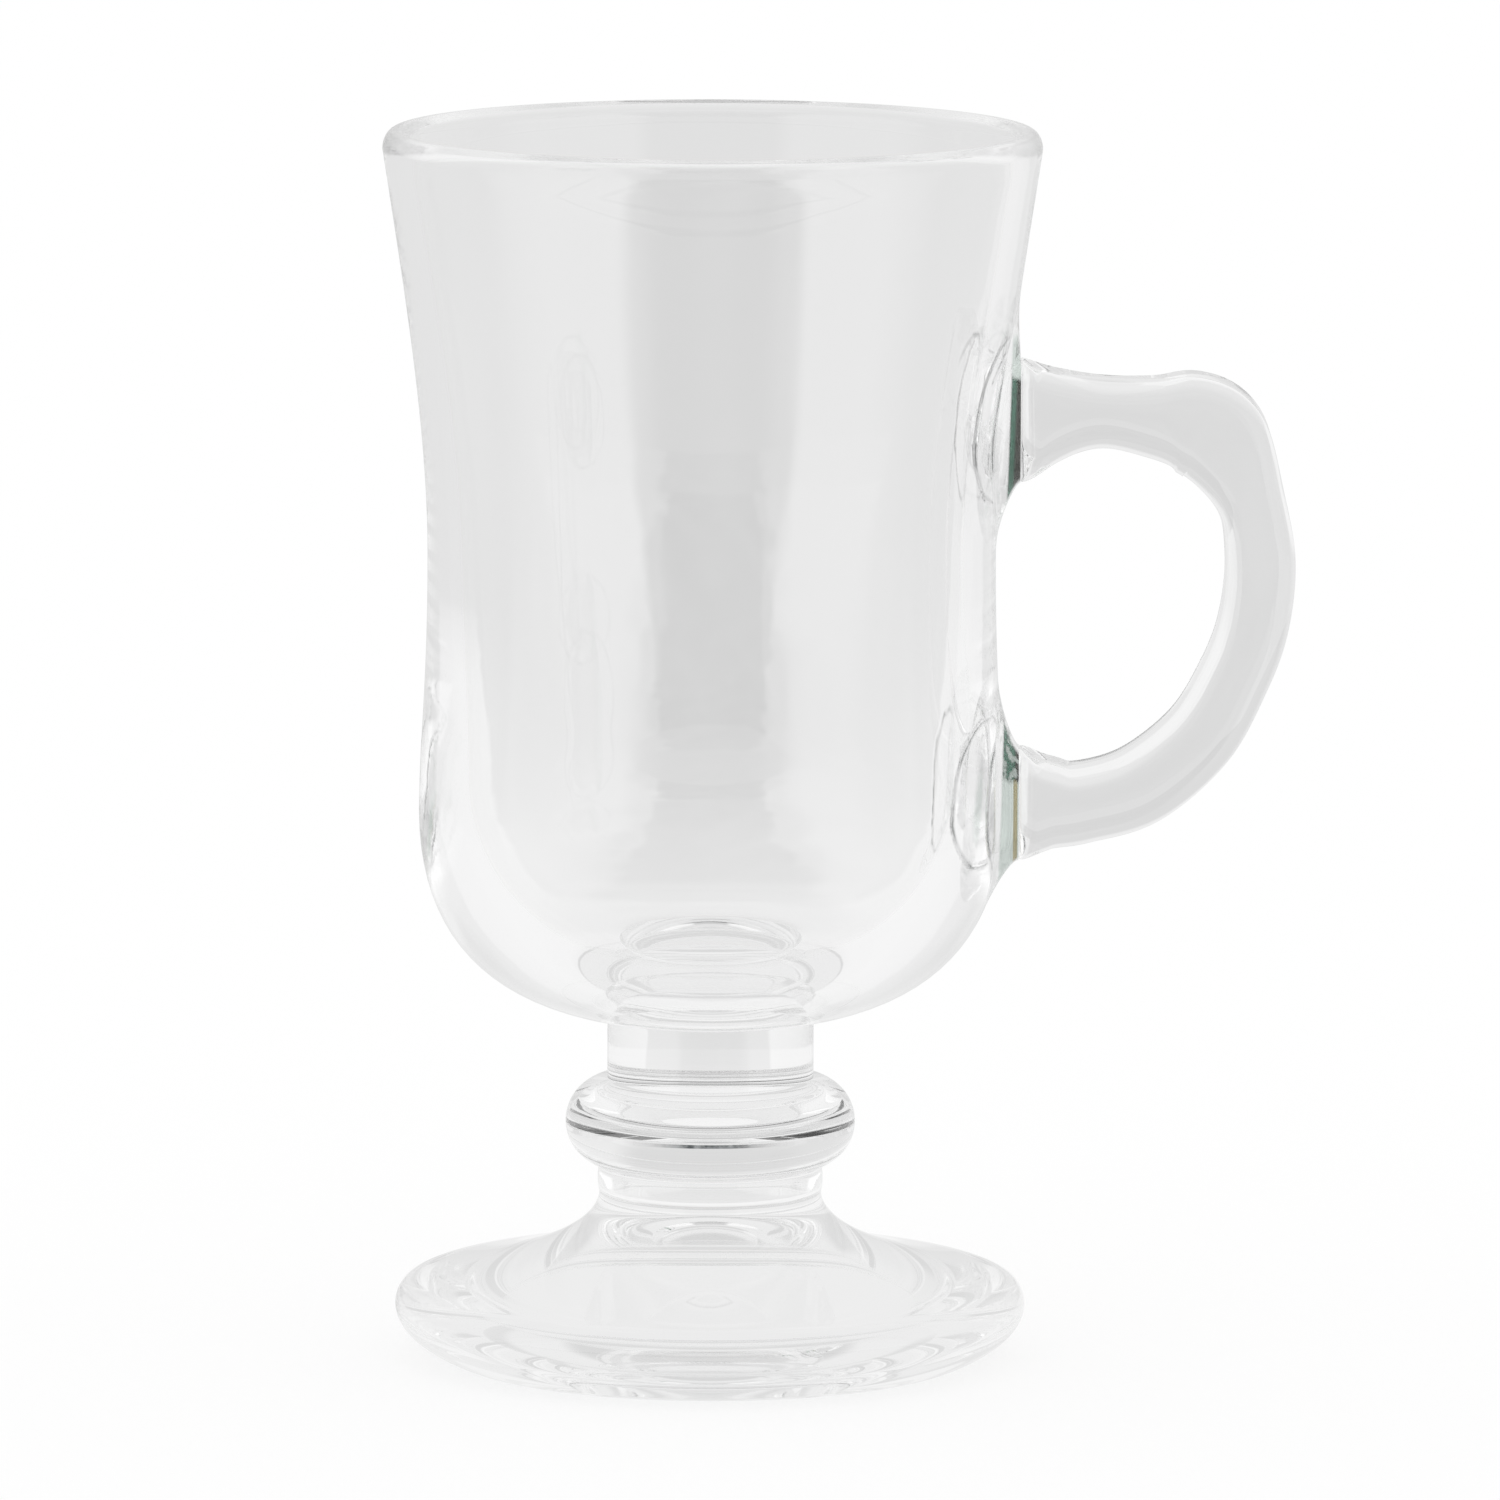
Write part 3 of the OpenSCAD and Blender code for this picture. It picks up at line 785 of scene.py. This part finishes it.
def wallX(y, z):
    # outside of the bowl at a height, in mm
    for low, high in zip(outside, outside[1:]):
        if low[1] <= z <= high[1]:
            r = low[0] + (high[0] - low[0]) * (z - low[1]) / (high[1] - low[1])
            return math.sqrt(r * r - y * y)
    return rimR


def blunt(share):
    # makes an oval squarer
    return math.copysign(math.sqrt(abs(share)), share)


def padRings(shape, midZ, rootT):
    endY = handleShape["depth"] / 2 - handleShape["endR"]
    halfZ = rootT / 2 + shape["spreadZ"]
    gap = shape["gap"]
    corners = []
    for k in range(shape["sides"]):
        a = 2 * math.pi * k / shape["sides"]
        end = Vector((rootX - gap, endY * blunt(math.cos(a)), midZ + rootT / 2 * blunt(math.sin(a))))
        wallY, wallZ = shape["wallY"] * math.cos(a), midZ + halfZ * math.sin(a)
        wall = Vector((wallX(wallY, wallZ) + gap, wallY, wallZ))
        near = wall.lerp(end, shape["wallPull"])
        away = end.lerp(wall, shape["endLift"])
        away.x = end.x + shape["endPull"] * (wall.x - end.x)
        corners.append((end, away, Vector((wallX(near.y, near.z) + gap, near.y, near.z)), wall))
    rings = []
    for i in range(shape["sweepSteps"] + 1):
        t = i / shape["sweepSteps"]
        u = 1 - t
        weights = (u ** 3, 3 * u * u * t, 3 * u * t * t, t ** 3)
        rings.append([sum((w * c for w, c in zip(weights, corner)), Vector()) * mm for corner in corners])
    for i in range(1, shape["faceSteps"]):
        share = 1 - i / shape["faceSteps"]
        ring = []
        for corner in corners:
            y, z = share * corner[3].y, midZ + share * (corner[3].z - midZ)
            ring.append(Vector((wallX(y, z) + gap, y, z)) * mm)
        rings.append(ring)
    return rings


upperPad = ringPiece("upper_pad_glass", padRings(padShape, upperZ, handleShape["upperRootT"]))
finishPiece(upperPad, "upper_handle_pad", [upperWeld])
lowerPad = ringPiece("lower_pad_glass", padRings(padShape, lowerZ, handleShape["lowerRootT"]))
finishPiece(lowerPad, "lower_handle_pad", [lowerWeld])


# stage: a pale floor and a grey-white light tent, open at the front

stageLook = {
    "floorSize": 4.0,
    "floorWhite": 0.85,     # share of the floor's own white for the camera; the rest takes the shadow
    # levels that the glass shows
    "under": 0.86,          # the floor under the foot, dimmed as a painted shadow of the foot
    "near": 0.93,           # the floor round the mug
    "sweepNear": 0.86,      # its grey part, a wedge that starts behind the mug
    "sweep": 0.77,
    "farLeft": 0.78,        # the floor far to the left
    "farRight": 0.88,
    "frontFloor": 1.2,      # the lit floor on both sides in front
    "opening": 0.12,        # the dark strip of floor straight in front
    "back": 0.71,           # the tent's back wall
    "left": 0.75,
    "right": 0.85,
    "roof": 0.85,
    "zenith": 0.68,
    "front": 1.05,          # the lit walls beside the opening
    "frontMid": 0.6,
    # places on the floor, and their soft edges, in m
    "underR": 0.036,
    "underEdge": 0.01,
    "sideEdge": 0.05,
    "farFrom": 0.3,
    "farTo": 0.5,
    "sweepFrom": 0.105,     # behind the axis
    "sweepEdge": 0.012,
    "sweepFade": 0.25,
    "sweepHalf": (0.05, 0.06),      # left and right
    "sweepSplit": 0.001,
    "sweepSlope": 2.4,      # how far back the wedge's sides run for each metre aside
    "sweepUneven": 0.08,
    "unevenSize": 0.05,
    "frontFade": 0.1,
    "openingFrom": 0.08,    # in front of the axis
    "openingNear": 0.01,
    "openingHalf": 0.08,
    "openingEdge": 0.025,
    "openingSpread": 0.33,
    "openingUneven": 0.2,
    "broadSize": 0.2,
    # places in the tent: degrees from the front, and heights and sideways turns as sines
    "backDeg": (145, 160),
    "frontDeg": (70, 95),
    "frontMidDeg": (22, 32),
    "sideTurn": 0.2,
    "roofFrom": (0.3, 0.45),
    "zenithFrom": (0.7, 0.8),
}


def floorMaterial():
    # matt white paper that takes a faint shadow; through the glass it shows the levels above
    material, tree = newMaterial("white sweep")
    look = stageLook
    rays = addNode(tree, "LightPath").outputs
    place = addNode(tree, "TexCoord").outputs["Object"]
    axes = addNode(tree, "SeparateXYZ", {0: place}).outputs
    away = addNode(tree, "VectorMath", {0: place}, operation="LENGTH")
    uneven = addNode(tree, "TexNoise", {"Vector": place, "Scale": 1 / look["unevenSize"]})
    broad = addNode(tree, "TexNoise", {"Vector": place, "Scale": 1 / look["broadSize"]})
    aside = addNode(tree, "Math", {0: axes["X"]}, operation="ABSOLUTE")
    ahead = addNode(tree, "Math", {0: axes["Y"], 1: -1.0}, operation="MULTIPLY")
    sides = addNode(tree, "MapRange", {
        0: axes["X"], 1: -look["sideEdge"], 2: look["sideEdge"], 3: look["farLeft"], 4: look["farRight"]},
        interpolation_type="SMOOTHSTEP")
    near = addNode(tree, "MapRange", {
        0: away, 1: look["underR"], 2: look["underR"] + look["underEdge"], 3: look["under"], 4: look["near"]},
        interpolation_type="SMOOTHSTEP")
    isFar = addNode(tree, "MapRange", {0: away, 1: look["farFrom"], 2: look["farTo"]},
                    interpolation_type="SMOOTHSTEP")
    level = addNode(tree, "Mix", {0: isFar, 2: near, 3: sides})
    # the grey wedge behind, with an uneven edge
    half = addNode(tree, "MapRange", {
        0: axes["X"], 1: -look["sweepSplit"], 2: look["sweepSplit"],
        3: look["sweepHalf"][0], 4: look["sweepHalf"][1]}, interpolation_type="SMOOTHSTEP")
    beside = addNode(tree, "Math", {0: aside, 1: half}, operation="SUBTRACT")
    beside = addNode(tree, "Math", {0: beside, 1: 0.0}, operation="MAXIMUM")
    beside = addNode(tree, "Math", {0: beside, 1: look["sweepSlope"]}, operation="MULTIPLY")
    inWedge = addNode(tree, "Math", {0: axes["Y"], 1: beside}, operation="SUBTRACT")
    ragged = addNode(tree, "Math", {0: uneven, 1: 0.5}, operation="SUBTRACT")
    ragged = addNode(tree, "Math", {0: ragged, 1: look["sweepUneven"]}, operation="MULTIPLY")
    inWedge = addNode(tree, "Math", {0: inWedge, 1: ragged}, operation="ADD")
    sweepFrom, sweepEdge = look["sweepFrom"], look["sweepEdge"]
    inWedge = addNode(tree, "MapRange", {0: inWedge, 1: sweepFrom - sweepEdge, 2: sweepFrom + sweepEdge},
                      interpolation_type="SMOOTHSTEP")
    grey = addNode(tree, "MapRange", {
        0: axes["Y"], 1: sweepFrom, 2: sweepFrom + look["sweepFade"], 3: look["sweepNear"], 4: look["sweep"]},
        interpolation_type="SMOOTHSTEP")
    level = addNode(tree, "Mix", {0: inWedge, 2: level, 3: grey})
    # lit on both sides in front, and dark straight in front
    openingFrom, openingHalf, openingEdge = look["openingFrom"], look["openingHalf"], look["openingEdge"]
    inFront = addNode(tree, "MapRange", {0: ahead, 1: 0.0, 2: look["frontFade"]},
                      interpolation_type="SMOOTHSTEP")
    pastFoot = addNode(tree, "MapRange", {0: away, 1: openingFrom, 2: openingFrom + look["openingNear"]},
                       interpolation_type="SMOOTHSTEP")
    inFront = addNode(tree, "Math", {0: inFront, 1: pastFoot}, operation="MULTIPLY")
    level = addNode(tree, "Mix", {0: inFront, 2: level, 3: look["frontFloor"]})
    spread = addNode(tree, "Math", {0: ahead, 1: look["openingSpread"]}, operation="MULTIPLY")
    inOpening = addNode(tree, "Math", {0: aside, 1: spread}, operation="SUBTRACT")
    ragged = addNode(tree, "Math", {0: broad, 1: 0.5}, operation="SUBTRACT")
    ragged = addNode(tree, "Math", {0: ragged, 1: look["openingUneven"]}, operation="MULTIPLY")
    inOpening = addNode(tree, "Math", {0: inOpening, 1: ragged}, operation="ADD")
    inOpening = addNode(tree, "MapRange", {
        0: inOpening, 1: openingHalf - openingEdge, 2: openingHalf + openingEdge, 3: 1.0, 4: 0.0},
        interpolation_type="SMOOTHSTEP")
    dark = addNode(tree, "MapRange", {0: broad, 1: 0.35, 2: 0.65, 3: 0.0, 4: 2 * look["opening"]},
                   interpolation_type="SMOOTHSTEP")
    inOpening = addNode(tree, "Math", {0: inOpening, 1: inFront}, operation="MULTIPLY")
    level = addNode(tree, "Mix", {0: inOpening, 2: level, 3: dark})
    seen = addNode(tree, "Emission", {"Color": (1, 1, 1, 1), "Strength": level})
    matt = addNode(tree, "BsdfDiffuse", {"Color": (1, 1, 1, 1)})
    white = addNode(tree, "Emission", {"Color": (1, 1, 1, 1), "Strength": 1.0})
    shadowed = addNode(tree, "MixShader", {0: look["floorWhite"], 1: matt, 2: white})
    through = addNode(tree, "Math", {0: rays["Is Glossy Ray"], 1: rays["Is Transmission Ray"]},
                      operation="MAXIMUM")
    mixed = addNode(tree, "MixShader", {0: through, 1: shadowed, 2: seen})
    addNode(tree, "OutputMaterial", {"Surface": mixed})
    return material


def makeFloor():
    bpy.ops.object.select_all(action="DESELECT")
    bpy.ops.mesh.primitive_plane_add(size=stageLook["floorSize"])
    floor = bpy.context.object
    floor.name = "floor"
    floor.data.materials.append(floorMaterial())


def makeWorld():
    world = bpy.data.worlds.new("light tent")
    bpy.context.scene.world = world
    world.use_nodes = True
    tree = world.node_tree
    tree.nodes.clear()
    look = stageLook
    rays = addNode(tree, "LightPath").outputs
    way = addNode(tree, "TexCoord").outputs["Generated"]
    axes = addNode(tree, "SeparateXYZ", {0: way}).outputs
    # angle from the front, the same to the left and to the right
    aside = addNode(tree, "Math", {0: axes["X"]}, operation="ABSOLUTE")
    ahead = addNode(tree, "Math", {0: axes["Y"], 1: -1.0}, operation="MULTIPLY")
    turn = addNode(tree, "Math", {0: aside, 1: ahead}, operation="ARCTAN2")
    level = addNode(tree, "MapRange", {
        0: axes["X"], 1: -look["sideTurn"], 2: look["sideTurn"], 3: look["left"], 4: look["right"]},
        interpolation_type="SMOOTHSTEP")
    low, high = (math.radians(deg) for deg in look["backDeg"])
    back = addNode(tree, "MapRange", {0: turn, 1: low, 2: high}, interpolation_type="SMOOTHSTEP")
    level = addNode(tree, "Mix", {0: back, 2: level, 3: look["back"]})
    for place in ("front", "frontMid"):
        low, high = (math.radians(deg) for deg in look[place + "Deg"])
        inside = addNode(tree, "MapRange", {0: turn, 1: low, 2: high, 3: 1.0, 4: 0.0},
                         interpolation_type="SMOOTHSTEP")
        level = addNode(tree, "Mix", {0: inside, 2: level, 3: look[place]})
    for place in ("roof", "zenith"):
        low, high = look[place + "From"]
        over = addNode(tree, "MapRange", {0: axes["Z"], 1: low, 2: high}, interpolation_type="SMOOTHSTEP")
        level = addNode(tree, "Mix", {0: over, 2: level, 3: look[place]})
    through = addNode(tree, "Math", {0: rays["Is Glossy Ray"], 1: rays["Is Transmission Ray"]},
                      operation="MAXIMUM")
    strength = addNode(tree, "Mix", {0: through, 2: 1.0, 3: level})
    light = addNode(tree, "Background", {"Color": (1, 1, 1, 1), "Strength": strength})
    addNode(tree, "OutputWorld", {"Surface": light})


makeFloor()
makeWorld()
print("stage set")


# camera, at the photograph's viewing angle

cameraPlace = {
    "away": 1.6,
    "height": 0.2974,
    "aside": 0.0045,
    "pitchDeg": 8.053,
    "rollDeg": 0.17,
    "lens": 334.3,
    "sensor": 36,
}
lightBounces = 1000         # light runs round inside the rim and the handle many times before it gets out
clearBounces = 64           # fused faces that a ray may pass

cameraData = bpy.data.cameras.new("camera")
camera = bpy.data.objects.new("camera", cameraData)
bpy.context.scene.collection.objects.link(camera)
cameraData.lens = cameraPlace["lens"]
cameraData.sensor_width = cameraPlace["sensor"]
camera.location = (cameraPlace["aside"], -cameraPlace["away"], cameraPlace["height"])
camera.rotation_euler = (math.radians(90 - cameraPlace["pitchDeg"]), 0, 0)
camera.rotation_euler.rotate_axis("Z", math.radians(cameraPlace["rollDeg"]))
bpy.context.scene.camera = camera

scene = bpy.context.scene
scene.view_settings.view_transform = "Standard"
scene.cycles.max_bounces = lightBounces
scene.cycles.transmission_bounces = lightBounces
scene.cycles.glossy_bounces = lightBounces
scene.cycles.transparent_max_bounces = clearBounces
scene.cycles.use_denoising = True
print("camera and light set")
